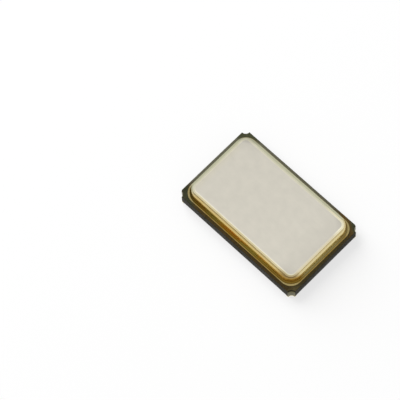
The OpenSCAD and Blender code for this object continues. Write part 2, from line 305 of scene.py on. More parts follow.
opening = round_plate("opening", cavity_length + 2 * RIM_EDGE, cavity_width + 2 * RIM_EDGE,
                      CAVITY_CORNER + RIM_EDGE, rim.low.z)
bpy.ops.mesh.delete(type="ONLY_FACE")
bpy.ops.object.mode_set(mode="OBJECT")
plated_rim = round_plate("plated_rim", rim.length, rim.width, RIM_CORNER, rim.low.z)
bpy.ops.mesh.delete(type="ONLY_FACE")
bpy.ops.object.mode_set(mode="OBJECT")
opening.select_set(True)
bpy.ops.object.join()
bpy.ops.object.mode_set(mode="EDIT")
bpy.ops.mesh.select_mode(type="EDGE")
bpy.ops.mesh.select_all(action="SELECT")
bpy.ops.mesh.bridge_edge_loops()
bpy.ops.mesh.select_all(action="SELECT")
raise_by(rim.height)
close_up(plated_rim)
soften(plated_rim, width=0.004)
report(plated_rim)

# %% [markdown]
# ## The braze fillet
#
# A ring of silver and copper melts between the plated rim and the seal ring. It creeps out and up
# the wall of the ring, and freezes in a hollow curve that thins out at both ends. The curve is made
# the way one would by hand: the top face is inset again and again, each time by a step inwards and a
# step upwards along a quarter of a circle. The last face is deleted, and so is the lower one inside
# the ring, which leaves an open band whose two edges are bridged.

# %% Inset along a hollow quarter circle
RING_WALL = 0.28
RING_CORNER = 0.40
FILLET_STEPS = 8
FEATHER = 0.004

fillet = (braze.length - ring.length) / 2
curve = fillet - FEATHER
braze_fillet = round_plate("braze_fillet", braze.length, braze.width,
                          RING_CORNER + fillet, braze.low.z)
raise_by(ring.low.z - braze.low.z + FEATHER)
for step in range(FILLET_STEPS):
    start, end = (math.pi / 2 * (step + i) / FILLET_STEPS for i in (0, 1))
    inwards = curve * (math.sin(end) - math.sin(start))
    upwards = curve * (math.cos(start) - math.cos(end))
    bpy.ops.mesh.inset(thickness=inwards, depth=upwards)
bpy.ops.mesh.inset(thickness=FEATHER)
bpy.ops.mesh.extrude_region_move(TRANSFORM_OT_translate={"value": (0, 0, ring.low.z - braze.high.z)})
bpy.ops.mesh.inset(thickness=RING_WALL)
raise_by(braze.low.z - ring.low.z)
bpy.ops.mesh.delete(type="ONLY_FACE")
pick(braze_fillet, "faces", lambda x, y, z: z < braze.low.z + TINY)
bpy.ops.mesh.delete(type="ONLY_FACE")
bpy.ops.mesh.select_mode(type="EDGE")
bpy.ops.mesh.select_non_manifold(extend=False)
bpy.ops.mesh.bridge_edge_loops()
close_up(braze_fillet)
report(braze_fillet)

# %% [markdown]
# ## The seal ring
#
# The ring is punched from sheet metal and plated with gold. Punching leaves its upper outer edge
# round and its other edges nearly sharp. A rounded plate is inset by the width of the ring, the face
# inside is deleted, and the frame that is left is extruded. The outer edge is then picked and
# bevelled with more steps than the others.

# %% Inset, extrude and round the ring
ROUND_EDGE = 0.02


def outside(x, y, box, corner, depth):
    """True within that depth of the wall of a box with round corners."""
    across = max(abs(x) - box.length / 2 + corner, 0)
    along = max(abs(y) - box.width / 2 + corner, 0)
    return math.hypot(across, along) > corner - depth


seal_ring = round_plate("seal_ring_gold", ring.length, ring.width, RING_CORNER, ring.low.z)
bpy.ops.mesh.inset(thickness=RING_WALL)
bpy.ops.mesh.delete(type="ONLY_FACE")
bpy.ops.mesh.select_all(action="SELECT")
raise_by(ring.height)
close_up(seal_ring)
bpy.ops.object.mode_set(mode="EDIT")
edges = pick(seal_ring, "edges", lambda x, y, z: z > ring.high.z - TINY
             and outside(x, y, ring, RING_CORNER, TINY))
bpy.ops.mesh.bevel(offset=ROUND_EDGE, segments=5, profile=0.5)
close_up(seal_ring)
soften(seal_ring, width=0.005)
print("Edges rounded by punching:", edges)
report(seal_ring)

# %% [markdown]
# ## The lid
#
# The lid is a thin nickel-plated sheet. Its border is thinner than its middle, so that the rollers
# of the seam welder melt only the border into the ring. Two insets make it: a level one for the
# border, and one that also rises, for the sloping edge of the flat top.

# %% Extrude the lid and inset it twice
LID_CORNER = 0.24
BORDER, BORDER_WIDTH, SLOPE_WIDTH = 0.05, 0.055, 0.03

welded_lid = round_plate("welded_lid", lid.length, lid.width, LID_CORNER, lid.low.z)
raise_by(BORDER)
bpy.ops.mesh.inset(thickness=BORDER_WIDTH)
bpy.ops.mesh.inset(thickness=SLOPE_WIDTH, depth=lid.height - BORDER)
close_up(welded_lid)
soften(welded_lid, width=0.008, segments=3, angle=25)
report(welded_lid)

# %% [markdown]
# ## One soldering terminal
#
# A terminal is printed metal: a flat pad under the base, a lining that climbs the notch in the
# corner, and a narrow collar where the two meet. The lining ends where the uppermost sheet begins, so
# that solder can't creep up to the ring. The collar and the lining have one L-shaped section all
# round the notch, which is just what spin is for. The section stands upright at one side of the
# notch. It starts as a small plate, bisect divides it, and the inner part is extruded upwards.

# %% Spin the collar and the lining round the corner
PAD_LENGTH, PAD_WIDTH, PAD_THICKNESS = 1.12, 0.70, 0.02
END_GAP, SIDE_GAP = 0.11, 0.13
COLLAR, LINING = 0.06, 0.02
LINING_HEIGHT = ledge_level

corner_x, corner_y = base.high.x, base.high.y
pad_x = corner_x - END_GAP - PAD_LENGTH / 2
pad_y = corner_y - SIDE_GAP - PAD_WIDTH / 2

bpy.ops.object.select_all(action="DESELECT")
section = (corner_x - NOTCH + (LINING - COLLAR) / 2, corner_y, PAD_THICKNESS / 2)
bpy.ops.mesh.primitive_plane_add(size=1, location=section, rotation=(math.pi / 2, 0, 0))
collar = bpy.context.object
collar.name = "collar"
bpy.ops.object.transform_apply(location=True, rotation=True, scale=False)
bpy.ops.object.mode_set(mode="EDIT")
bpy.ops.mesh.select_all(action="SELECT")
bpy.ops.transform.resize(value=(COLLAR + LINING, 1, PAD_THICKNESS), center_override=section)
bpy.ops.mesh.bisect(plane_co=(corner_x - NOTCH, corner_y, 0), plane_no=(1, 0, 0))
pick(collar, "edges", lambda x, y, z: x > corner_x - NOTCH - TINY and z > PAD_THICKNESS - TINY)
raise_by(LINING_HEIGHT - PAD_THICKNESS)
bpy.ops.mesh.select_all(action="SELECT")
bpy.ops.mesh.spin(steps=20, angle=-math.pi / 2, center=(corner_x, corner_y, 0), axis=(0, 0, 1))
close_up(collar)
report(collar)

# %% [markdown]
# ## Pad, collar and lining become one piece
#
# The pad is a plate with barely rounded corners. Its outer corner would reach into the notch, so a
# cylinder cuts it back there, and a Boolean union then joins it to the collar. A Boolean leaves
# points that no longer mark a bend, and limited dissolve removes them before any edge is rounded.

# %% Cut the pad back at the notch and join it to the collar
PAD_CORNER = 0.02

first_pad = round_plate("first_pad", PAD_LENGTH, PAD_WIDTH, PAD_CORNER, 0, (pad_x, pad_y), steps=4)
raise_by(PAD_THICKNESS)
close_up(first_pad)
bpy.ops.object.select_all(action="DESELECT")
bpy.ops.mesh.primitive_cylinder_add(vertices=CIRCLE_POINTS, radius=NOTCH - LINING / 2, depth=ABOVE,
                                    location=(corner_x, corner_y, 0))
cut_away(first_pad, bpy.context.object)
cut_away(first_pad, collar, "UNION")
bpy.ops.object.mode_set(mode="EDIT")
bpy.ops.mesh.select_all(action="SELECT")
bpy.ops.mesh.dissolve_limited(angle_limit=math.radians(1))
close_up(first_pad)
report(first_pad)

# %% [markdown]
# ## Four terminals from one
#
# The other three are mirrored copies, each with a mesh of its own. Mirroring turns a mesh inside
# out, so every copy has its faces turned outwards again. One pad has a cut corner, which shows where
# the numbering of the terminals starts. Inside the ceramic, each terminal goes on as a filled hole
# and a printed track, which end under a bonding wire. Those are right in the CAD model, so they are
# taken from a copy of its mesh: bisect cuts off the copy's own pad and lining, and the rest is
# joined to the new pad.

# %% Mirror the pad, mark the first one and add the hidden conductors
MARK = 0.28
PAST_CONDUCTOR = 2.1
TERMINALS = (("terminal_1", -1, -1), ("terminal_2", 1, -1), ("terminal_3", 1, 1),
             ("terminal_4", -1, 1))


def hidden_conductor(node, side):
    """The part of a CAD terminal that lies above its pad and inside the ceramic."""
    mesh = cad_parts[node].data.copy()
    conductor = bpy.data.objects.new(node + "_conductor", mesh)
    bpy.context.collection.objects.link(conductor)
    bpy.ops.object.select_all(action="DESELECT")
    bpy.context.view_layer.objects.active = conductor
    conductor.select_set(True)
    bpy.ops.object.mode_set(mode="EDIT")
    bpy.ops.mesh.select_all(action="SELECT")
    bpy.ops.transform.resize(value=(1 / MM,) * 3, center_override=(0, 0, 0))
    bpy.ops.mesh.remove_doubles(threshold=0.0005)
    bpy.ops.mesh.bisect(plane_co=(0, 0, PAD_THICKNESS + TINY), plane_no=(0, 0, 1), use_fill=True,
                        clear_inner=True)
    bpy.ops.mesh.select_all(action="SELECT")
    bpy.ops.mesh.bisect(plane_co=(side * PAST_CONDUCTOR, 0, 0), plane_no=(side, 0, 0),
                        clear_outer=True)
    bpy.ops.mesh.select_all(action="SELECT")
    bpy.ops.mesh.dissolve_limited(angle_limit=math.radians(1))
    return close_up(conductor)


terminals = []
for node, side_x, side_y in TERMINALS:
    terminal = first_pad.copy()
    terminal.data = first_pad.data.copy()
    terminal.name = node + "_plated"
    bpy.context.collection.objects.link(terminal)
    bpy.ops.object.select_all(action="DESELECT")
    bpy.context.view_layer.objects.active = terminal
    terminal.select_set(True)
    bpy.ops.object.mode_set(mode="EDIT")
    bpy.ops.mesh.select_all(action="SELECT")
    if node == "terminal_1":
        bpy.ops.mesh.bisect(plane_co=(pad_x - PAD_LENGTH / 2 + MARK, pad_y - PAD_WIDTH / 2, 0),
                            plane_no=(1, 1, 0), use_fill=True, clear_inner=True)
        bpy.ops.mesh.select_all(action="SELECT")
    bpy.ops.transform.resize(value=(side_x, side_y, 1), center_override=(0, 0, 0))
    close_up(terminal)
    soften(terminal, width=0.006, segments=3, angle=50)
    conductor = hidden_conductor(node, side_x)
    report(conductor)
    bpy.ops.object.select_all(action="DESELECT")
    conductor.select_set(True)
    terminal.select_set(True)
    bpy.context.view_layer.objects.active = terminal
    bpy.ops.object.join()
    terminals.append(report(terminal))
bpy.data.objects.remove(first_pad, do_unlink=True)

# %% [markdown]
# ## Back to true size
#
# Every new piece is now shrunk to metres, with the scale written into its mesh, so that the object
# itself sits unscaled at the origin. Shading smooth by angle makes the round corners look round and
# leaves the flat faces flat. Each piece then takes the place of its CAD node: it rides on the body of
# the part, and the CAD node is hidden.

# %% Shrink the pieces and put them in place of the CAD nodes
def take_place(piece, node):
    """Shrink a piece to metres and let it stand for a CAD node."""
    bpy.ops.object.select_all(action="DESELECT")
    bpy.context.view_layer.objects.active = piece
    piece.select_set(True)
    bpy.ops.transform.resize(value=(MM,) * 3, center_override=(0, 0, 0))
    bpy.ops.object.transform_apply(location=True, rotation=True, scale=True)
    bpy.ops.object.shade_smooth_by_angle(angle=math.radians(25))
    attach(piece, "root")
    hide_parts(node)
    low, high = (Vector(f(v.co[i] for v in piece.data.vertices) for i in range(3)) / MM
                 for f in (min, max))
    print(f"{piece.name}: from {tuple(round(x, 3) for x in low)} to",
          tuple(round(x, 3) for x in high))


take_place(body, "ceramic_base")
take_place(plated_rim, "rim_metallisation")
take_place(braze_fillet, "braze_joint")
take_place(seal_ring, "seal_ring")
take_place(welded_lid, "lid")
for terminal, (node, side_x, side_y) in zip(terminals, TERMINALS):
    take_place(terminal, node)

# %% [markdown]
# ## How the finishes are built
#
# A finish is a Principled shader whose colour, roughness and small relief come from noise. All the
# patterns read the piece's own coordinates, scaled so that a pattern size of 1 is a millimetre, and
# they stay fixed to the piece from every side. A few helpers keep the later cells short: they start
# a finish, make a noise, spread it over a range of colours or turn it into bumps, and give the
# finished material to its pieces.

# %% Helpers for noise, colour and relief
def start_finish(name, **settings):
    """A new material, with plain settings written on the sockets of its shader."""
    finish = bpy.data.materials.new(name)
    finish.use_nodes = True
    shader = finish.node_tree.nodes["Principled BSDF"]
    for setting, value in settings.items():
        shader.inputs[setting.replace("_", " ")].default_value = value
    return finish


def link(finish, start, end):
    """Join an output of one node to an input of another."""
    finish.node_tree.links.new(start, end)


def socket(finish, name):
    """An input of the finish's shader."""
    return finish.node_tree.nodes["Principled BSDF"].inputs[name]


def noise(finish, per_mm, stretch=(1, 1, 1), detail=3.0):
    """Noise with that many grains in a millimetre."""
    nodes = finish.node_tree.nodes
    place, scale, grain = (nodes.new("ShaderNode" + kind)
                           for kind in ("TexCoord", "Mapping", "TexNoise"))
    scale.inputs["Scale"].default_value = [per_mm * s / MM for s in stretch]
    grain.inputs["Scale"].default_value = 1.0
    grain.inputs["Detail"].default_value = detail
    link(finish, place.outputs["Object"], scale.inputs["Vector"])
    link(finish, scale.outputs["Vector"], grain.inputs["Vector"])
    return grain.outputs["Fac"]


def spread(finish, value, low, high, ends=(0.3, 0.7)):
    """Turn a value into a colour, or into a grey where low and high are numbers."""
    ramp = finish.node_tree.nodes.new("ShaderNodeValToRGB")
    for stop, place, colour in zip(ramp.color_ramp.elements, ends, (low, high)):
        stop.position = place
        stop.color = (*colour, 1) if isinstance(colour, tuple) else (colour,) * 3 + (1,)
    link(finish, value, ramp.inputs["Fac"])
    return ramp.outputs["Color"]


def relief(finish, bumps, depth, under=None):
    """Bump of that depth in millimetres, on top of another bump where there is one."""
    bump = finish.node_tree.nodes.new("ShaderNodeBump")
    bump.inputs["Distance"].default_value = depth * MM
    link(finish, bumps, bump.inputs["Height"])
    if under:
        link(finish, under, bump.inputs["Normal"])
    return bump.outputs["Normal"]


def cover(finish, *pieces):
    """Give the finish to new pieces, or to CAD nodes that are named."""
    for piece in pieces:
        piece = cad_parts[piece] if isinstance(piece, str) else piece
        piece.data.materials.clear()
        piece.data.materials.append(finish)
    print(finish.name, "->", len(pieces), "piece(s)")


# %% [markdown]
# ## Zones within one finish
#
# Plating and fired ceramic are never even: heat, flux and handling leave stained or paler zones. A
# zone is a share that is 0 outside it and 1 inside it. `along` makes one from how far a point lies
# in some direction, and `layered` lays further colours over the first by such shares, as coats of
# glaze. Three of the directions below are counted in half sides of the ceramic: `TO_END` reaches 1 at
# the +X end, while `TO_FRONT` and `TO_RIGHT` reach 2 at a corner, so they pick out single corners.

# %% Helpers for zones
UP = (0, 0, 1)
TO_END = (2 / base.length, 0, 0)
TO_FRONT = (2 / base.length, -2 / base.width, 0)
TO_RIGHT = (2 / base.length, 2 / base.width, 0)


def along(finish, way, start, end, both_ways=False):
    """How far a point lies that way, as a share that is 0 at the start and 1 at the end."""
    nodes = finish.node_tree.nodes
    place, unsigned, distance, share = (nodes.new("ShaderNode" + kind) for kind in
                                        ("TexCoord", "VectorMath", "VectorMath", "MapRange"))
    unsigned.operation = "ABSOLUTE"
    distance.operation = "DOT_PRODUCT"
    distance.inputs[1].default_value = [step / MM for step in way]
    share.inputs["From Min"].default_value = start
    share.inputs["From Max"].default_value = end
    link(finish, place.outputs["Object"], unsigned.inputs[0])
    link(finish, (unsigned.outputs["Vector"] if both_ways else place.outputs["Object"]),
         distance.inputs[0])
    link(finish, distance.outputs["Value"], share.inputs["Value"])
    return share.outputs["Result"]


def layered(finish, colour, *zones):
    """Lay more colours over the first one, each as its own share says."""
    for share, upper in zones:
        mix = finish.node_tree.nodes.new("ShaderNodeMix")
        mix.data_type = "RGBA"
        link(finish, share, mix.inputs["Factor"])
        for entry, value in (("A", colour), ("B", upper)):
            if isinstance(value, tuple):
                mix.inputs[entry].default_value = (*value, 1)
            else:
                link(finish, value, mix.inputs[entry])
        colour = mix.outputs["Result"]
    return colour


def times(finish, colour, factor):
    """The colour made lighter or darker by a number, or by another colour."""
    product = finish.node_tree.nodes.new("ShaderNodeVectorMath")
    product.operation = "MULTIPLY"
    link(finish, colour, product.inputs[0])
    if isinstance(factor, float):
        product.inputs[1].default_value = (factor,) * 3
    else:
        link(finish, factor, product.inputs[1])
    return product.outputs["Vector"]


# %% [markdown]
# ## Black alumina
#
# The ceramic is alumina coloured nearly black with metal oxides. It is matt and has a fine grain:
# hard grains a few hundredths of a millimetre wide stand a little proud of the glass between them.
# The sides are blackest, and the underside is an even charcoal. The upper face is painted paler than
# the sides, partly as painted light over the shade of the ring: brown along the front sides, a
# lighter grey along the back ones and olive at the corners. The +X end is painted lighter, as painted
# light where the lamp's shadow falls, and beside the right corner the brown has an amber tone. One
# noise gives the grain for all of these colours, so that the grains run on from one zone into the
# next.

# %% Black alumina
alumina = start_finish("black_alumina", Metallic=0.0, Specular_IOR_Level=0.11)
grain = noise(alumina, 28)
black = spread(alumina, grain, (0.014, 0.0115, 0.005), (0.029, 0.025, 0.013))
grey = spread(alumina, grain, (0.095, 0.093, 0.062), (0.135, 0.132, 0.092))
brown = spread(alumina, grain, (0.040, 0.026, 0.007), (0.068, 0.048, 0.017))
olive = spread(alumina, grain, (0.039, 0.041, 0.018), (0.060, 0.063, 0.032))
# Painted light for the +X end of the upper face, where the lamp's shadow falls.
painted_light_end = spread(alumina, grain, (0.078, 0.061, 0.022), (0.116, 0.093, 0.038))
amber = spread(alumina, grain, (0.082, 0.052, 0.013), (0.120, 0.078, 0.024))
# The upper face is painted paler than the sides, partly as painted light over the shade of the ring.
upper = layered(alumina, grey, (along(alumina, TO_FRONT, -0.45, -0.20), brown),
                (along(alumina, TO_FRONT, -1.68, -1.76), olive),
                (along(alumina, TO_RIGHT, -1.68, -1.76), times(alumina, olive, 0.7)),
                (along(alumina, TO_END, 0.90, 0.96), painted_light_end),
                (along(alumina, TO_RIGHT, 1.60, 1.72), amber),
                (along(alumina, TO_RIGHT, 1.80, 1.86), olive))
on_top = along(alumina, UP, base.high.z - 0.005, base.high.z - 0.001)
underneath = along(alumina, UP, base.low.z + 0.005, base.low.z + 0.001)
charcoal = spread(alumina, grain, (0.075, 0.075, 0.070), (0.110, 0.110, 0.103))
link(alumina, layered(alumina, black, (on_top, upper), (underneath, charcoal)),
     socket(alumina, "Base Color"))
link(alumina, spread(alumina, noise(alumina, 2.5), 0.50, 0.68), socket(alumina, "Roughness"))
link(alumina, relief(alumina, grain, 0.004), socket(alumina, "Normal"))
cover(alumina, body)

# %% [markdown]
# ## Gold over printed metal
#
# The terminals are tungsten ink, fired with the ceramic and then plated with nickel and gold. The
# plating follows the grainy ink, so the gold is satin rather than bright. Where the ink climbs the
# notch, the gold is painted dark and grey, as painted shade in the notch. Away from the corners, on
# the leads and pads inside the cavity, it is as bright as underneath.

# %% Gold on the terminals
pad_gold = start_finish("gold_on_printed_metal", Metallic=1.0)
grain = noise(pad_gold, 22)
patches = noise(pad_gold, 3)
bright = spread(pad_gold, patches, (0.71, 0.58, 0.17), (0.80, 0.68, 0.25))
# Painted shade: a dark grey gold for the lining that climbs the notch.
notch_shade = spread(pad_gold, grain, (0.095, 0.086, 0.032), (0.155, 0.140, 0.058))
climbing = along(pad_gold, UP, PAD_THICKNESS, 2 * PAD_THICKNESS)
inside = along(pad_gold, TO_RIGHT, 1.70, 1.60, both_ways=True)
link(pad_gold, layered(pad_gold, bright, (climbing, notch_shade), (inside, bright)),
     socket(pad_gold, "Base Color"))
link(pad_gold, spread(pad_gold, grain, 0.30, 0.45), socket(pad_gold, "Roughness"))
link(pad_gold, relief(pad_gold, grain, 0.002), socket(pad_gold, "Normal"))
cover(pad_gold, *terminals, "crystal_lead_1", "crystal_lead_2", "die_pad")

# %% [markdown]
# ## The gold of the rim
#
# The strip of rim outside the braze is the same plated ink, but it has been in the brazing furnace.
# It is browner in front, stays pale behind, and is tan at the corners, where the strip is widest.

# %% Gold on the rim of the ceramic
rim_gold = start_finish("gold_on_rim", Metallic=1.0)
grain = noise(rim_gold, 20)
patches = noise(rim_gold, 4)
clean = spread(rim_gold, grain, (0.44, 0.42, 0.27), (0.54, 0.52, 0.35))
browner_front = spread(rim_gold, patches, (0.26, 0.165, 0.03), (0.34, 0.24, 0.08))
tan = spread(rim_gold, grain, (0.29, 0.23, 0.09), (0.36, 0.29, 0.13))
strip = layered(rim_gold, clean, (along(rim_gold, TO_FRONT, 0.02, 0.12), browner_front),
                (along(rim_gold, TO_RIGHT, 1.62, 1.70, both_ways=True), tan))
link(rim_gold, strip, socket(rim_gold, "Base Color"))
link(rim_gold, spread(rim_gold, patches, 0.28, 0.40), socket(rim_gold, "Roughness"))
link(rim_gold, relief(rim_gold, grain, 0.002), socket(rim_gold, "Normal"))
cover(rim_gold, plated_rim)

# %% [markdown]
# ## Heat stains and painted light on the braze and the ring
#
# The braze metal and the wall of the ring above it went through the furnace together, and carry the
# same stains: slow patches of orange and olive, and brown at the front corner. Over these, the -X end
# is painted dark, as painted shade, and the +X end a lighter green, as painted light. A helper makes
# these colours once for both. The wall mirrors the fillet at its foot, and its copy is painted
# lighter, as painted light, so that it looks as deep as it does.

# %% Stains and painted light that the braze and the wall of the ring share
def stain_and_light(finish, strength):
    """Patches of orange and olive, with painted shade at the -X end and painted light at the +X end.
    """
    patches = noise(finish, 1.3)
    ends = (0.42, 0.56)
    orange_to_olive = spread(finish, patches, (0.38, 0.175, 0.012), (0.31, 0.225, 0.034), ends)
    green = spread(finish, patches, (0.375, 0.275, 0.088), (0.41, 0.33, 0.122), ends)
    # Painted shade darkens the -X end, and painted light makes the +X end a lighter green.
    stains_and_painted_light = layered(finish, orange_to_olive,
                     (along(finish, TO_END, -0.25, -0.85), (0.145, 0.093, 0.009)),
                     (along(finish, TO_END, 0.72, 0.92), green),
                     (along(finish, TO_FRONT, 1.40, 1.55), (0.31, 0.185, 0.026)))
    return times(finish, stains_and_painted_light, strength)


# %% [markdown]
# ## Plated braze metal
#
# The braze has flowed, so its surface is smooth with slow waves. Its thin foot is darker than the
# part that has climbed the ring.

# %% Plated braze metal
braze_gold = start_finish("plated_braze", Metallic=1.0)
waves = noise(braze_gold, 6)
climbed = along(braze_gold, UP, braze.low.z, braze.high.z)
depth = spread(braze_gold, climbed, 0.40, 1.0, (0.4, 0.75))
link(braze_gold, times(braze_gold, stain_and_light(braze_gold, 1.0), depth), socket(braze_gold, "Base Color"))
link(braze_gold, spread(braze_gold, waves, 0.20, 0.32), socket(braze_gold, "Roughness"))
link(braze_gold, relief(braze_gold, waves, 0.006), socket(braze_gold, "Normal"))
cover(braze_gold, braze_fillet)

# %% [markdown]
# ## Plated ring
#
# The wall of the ring was sheared by a punch, which leaves fine upright marks: the noise for them is
# stretched along the height. The narrow land on top, beside the lid, kept its gold. It is warm in
# front and paler behind, and coppery at the front corner. Near the back corner the land is painted
# darker, as painted shade, and towards the +X end lighter, as painted light.

# %% Plated wall and bare land of the ring
ring_gold = start_finish("plated_ring", Metallic=1.0)
marks = noise(ring_gold, 24, (1, 1, 0.12))
patches = noise(ring_gold, 3)
pale = spread(ring_gold, patches, (0.49, 0.49, 0.34), (0.53, 0.53, 0.38))
warm = spread(ring_gold, patches, (0.60, 0.455, 0.18), (0.62, 0.49, 0.23))
coppery = spread(ring_gold, patches, (0.30, 0.20, 0.07), (0.34, 0.24, 0.095))
darker = times(ring_gold, pale, 0.8)
# The land is painted darker near the back corner, as painted shade, and lighter towards the +X end,
# as painted light.
land = layered(ring_gold, pale, (along(ring_gold, TO_FRONT, -1.48, -1.60), darker),
               (along(ring_gold, TO_FRONT, -0.1, 0.1), warm),
               (along(ring_gold, TO_END, 0.78, 0.90), (0.66, 0.57, 0.32)),
               (along(ring_gold, TO_FRONT, 1.50, 1.62), coppery))
top = along(ring_gold, UP, ring.high.z - 0.012, ring.high.z - 0.004)
# The wall takes the stains painted 1.7 times lighter, as painted light.
link(ring_gold, layered(ring_gold, stain_and_light(ring_gold, 1.7), (top, land)),
     socket(ring_gold, "Base Color"))
link(ring_gold, spread(ring_gold, marks, 0.44, 0.56), socket(ring_gold, "Roughness"))
link(ring_gold, relief(ring_gold, marks, 0.0015), socket(ring_gold, "Normal"))
cover(ring_gold, seal_ring)

# %% [markdown]
# ## Satin nickel
#
# The lid is rolled sheet under dull nickel, so it has faint lines along its length and slow, pale
# blotches. The flat top is yellowish at one end. It is painted a little darker at the other end and
# darker still close to three of its corners, as painted shade. These are shades of one colour, so
# they are laid over an even white first, and the colour of the nickel is then multiplied by the
# result.

# %% Satin nickel on the flat top
nickel = start_finish("satin_nickel", Metallic=1.0)
blotches = noise(nickel, 3.5)
plain = spread(nickel, blotches, (0.616, 0.588, 0.512), (0.652, 0.620, 0.539))
even, yellowish, dim, dimmer = (1, 1, 1), (0.98, 0.97, 0.92), (0.93,) * 3, (0.85,) * 3
# Painted shade: the flat top is darker towards the +X end and close to three corners.
shade = layered(nickel, even, (along(nickel, TO_END, -0.78, -0.86), yellowish),
                (along(nickel, TO_END, 0.55, 0.85), dim),
                (along(nickel, TO_FRONT, -1.30, -1.48), dim),
                (along(nickel, TO_FRONT, -1.48, -1.57), dimmer),
                (along(nickel, TO_FRONT, 1.36, 1.54), dimmer),
                (along(nickel, TO_RIGHT, 1.42, 1.56), dimmer))
flat_top = times(nickel, plain, shade)

# %% [markdown]
# ## The welded border
#
# The border of the lid, which the welding rollers pressed, is straw-coloured in front. The slope
# above it is painted bright, as a painted highlight, and the cut edge below is painted dark brown, as
# painted shade. The height of a point tells these parts from each other: edge, border, slope and flat
# top lie above one another, so each is a zone along `UP` that starts where the one below it ends.
# Towards the +X end the border and edge are painted lighter and the slope darker, as painted light
# and shade; at the right corner the border and slope are painted brighter, as a painted highlight,
# and at the front corner all three are painted darker, as painted shade. The corner farthest back is
# painted darker on all of them, as painted shade, so the whole is multiplied by one more shade.

# %% Border, edge and slope, then the whole lid
near_end = along(nickel, TO_END, 0.82, 0.86)
right_corner = along(nickel, TO_RIGHT, 1.30, 1.48)
front_corner = along(nickel, TO_FRONT, 1.46, 1.60)
straw = spread(nickel, blotches, (0.61, 0.53, 0.31), (0.66, 0.58, 0.36))
pale = spread(nickel, blotches, (0.59, 0.57, 0.42), (0.64, 0.62, 0.48))
# The border is painted lighter towards the +X end and brighter at the right corner, as painted light,
# and darker at the front corner, as painted shade.
border = layered(nickel, pale, (along(nickel, TO_FRONT, -0.1, 0.1), straw),
                 (near_end, (0.67, 0.60, 0.42)),
                 (right_corner, (0.76, 0.70, 0.50)),
                 (front_corner, (0.42, 0.34, 0.18)))
# The cut edge is painted dark brown, as painted shade in the crease, and lighter towards the +X end.
edge = layered(nickel, (0.19, 0.14, 0.045), (near_end, (0.60, 0.51, 0.28)),
               (front_corner, (0.30, 0.23, 0.09)))
# The slope is painted bright, as a painted highlight, brightest at the right corner.
slope_highlight = layered(nickel, spread(nickel, blotches, (0.70, 0.66, 0.53), (0.74, 0.70, 0.57)),
                 (near_end, (0.59, 0.55, 0.44)),
                 (right_corner, (0.80, 0.76, 0.60)),
                 (front_corner, (0.58, 0.56, 0.42)))

skin = layered(nickel, edge,
               (along(nickel, UP, lid.low.z + BORDER - 0.012, lid.low.z + BORDER - 0.005), border),
               (along(nickel, UP, lid.low.z + BORDER, lid.low.z + BORDER + 0.004), slope_highlight),
               (along(nickel, UP, lid.high.z - 0.003, lid.high.z - 0.0005), flat_top))
# The corner farthest back is painted darker, as painted shade.
shaded_back_corner = layered(nickel, even, (along(nickel, TO_FRONT, -1.51, -1.58), (0.87,) * 3))
link(nickel, times(nickel, skin, shaded_back_corner), socket(nickel, "Base Color"))
lines = noise(nickel, 30, (0.05, 1, 1))
link(nickel, spread(nickel, lines, 0.34, 0.44), socket(nickel, "Roughness"))
link(nickel, relief(nickel, noise(nickel, 40), 0.001, relief(nickel, lines, 0.0006)),
     socket(nickel, "Normal"))
cover(nickel, welded_lid)

# %% [markdown]
# ## The pieces inside
#
# The CAD shapes of the inner pieces are right as they are, so they keep their meshes and only get
# finishes. The glue is silver flakes in resin, which is why it is only half metallic and speckled.

# %% Silver-filled glue
glue = start_finish("silver_filled_glue", Metallic=0.55, Roughness=0.6)
grain = noise(glue, 45)
link(glue, spread(glue, grain, (0.30, 0.30, 0.29), (0.66, 0.66, 0.64)), socket(glue, "Base Color"))
link(glue, relief(glue, grain, 0.004), socket(glue, "Normal"))
cover(glue, "die_adhesive", "crystal_adhesive_1", "crystal_adhesive_2")

# %% [markdown]
# ## Silicon and gold wire
#
# The die is polished silicon. Its circuits show only as blocks that differ a little in colour and
# gloss, so its noise has no fine detail. The wires are drawn gold, bright with faint dull spots.

# %% Silicon and gold wire
silicon = start_finish("polished_silicon", Metallic=0.2)
blocks = noise(silicon, 9, detail=0)
link(silicon, spread(silicon, blocks, (0.05, 0.06, 0.08), (0.13, 0.12, 0.15)),
     socket(silicon, "Base Color"))
link(silicon, spread(silicon, blocks, 0.10, 0.20), socket(silicon, "Roughness"))
cover(silicon, "oscillator_die")

wire_gold = start_finish("drawn_gold_wire", Metallic=1.0)
grain = noise(wire_gold, 60)
link(wire_gold, spread(wire_gold, grain, (0.86, 0.62, 0.20), (0.95, 0.74, 0.32)),
     socket(wire_gold, "Base Color"))
link(wire_gold, spread(wire_gold, grain, 0.16, 0.28), socket(wire_gold, "Roughness"))
cover(wire_gold, *(f"bond_wire_{n}" for n in range(1, 7)))

# %% [markdown]
# ## Quartz and silver film
#
# The crystal is a clear plate, so its shader lets light through at the refraction of quartz, and a
# light haze stands for its lapped surface. Its two electrodes are silver film that was deposited in
# a vacuum, nearly a mirror.

# %% Quartz and silver film
quartz = start_finish("clear_quartz", IOR=1.54, Transmission_Weight=1.0)
haze = noise(quartz, 5)
link(quartz, spread(quartz, haze, (0.93, 0.96, 0.97), (0.98, 0.99, 1.0)),
     socket(quartz, "Base Color"))
link(quartz, spread(quartz, haze, 0.03, 0.08), socket(quartz, "Roughness"))
cover(quartz, "quartz_blank")

silver = start_finish("silver_film", Metallic=1.0)
grain = noise(silver, 30)
link(silver, spread(silver, grain, (0.80, 0.79, 0.77), (0.90, 0.89, 0.87)),
     socket(silver, "Base Color"))
link(silver, spread(silver, grain, 0.14, 0.26), socket(silver, "Roughness"))
cover(silver, "lower_electrode", "upper_electrode")

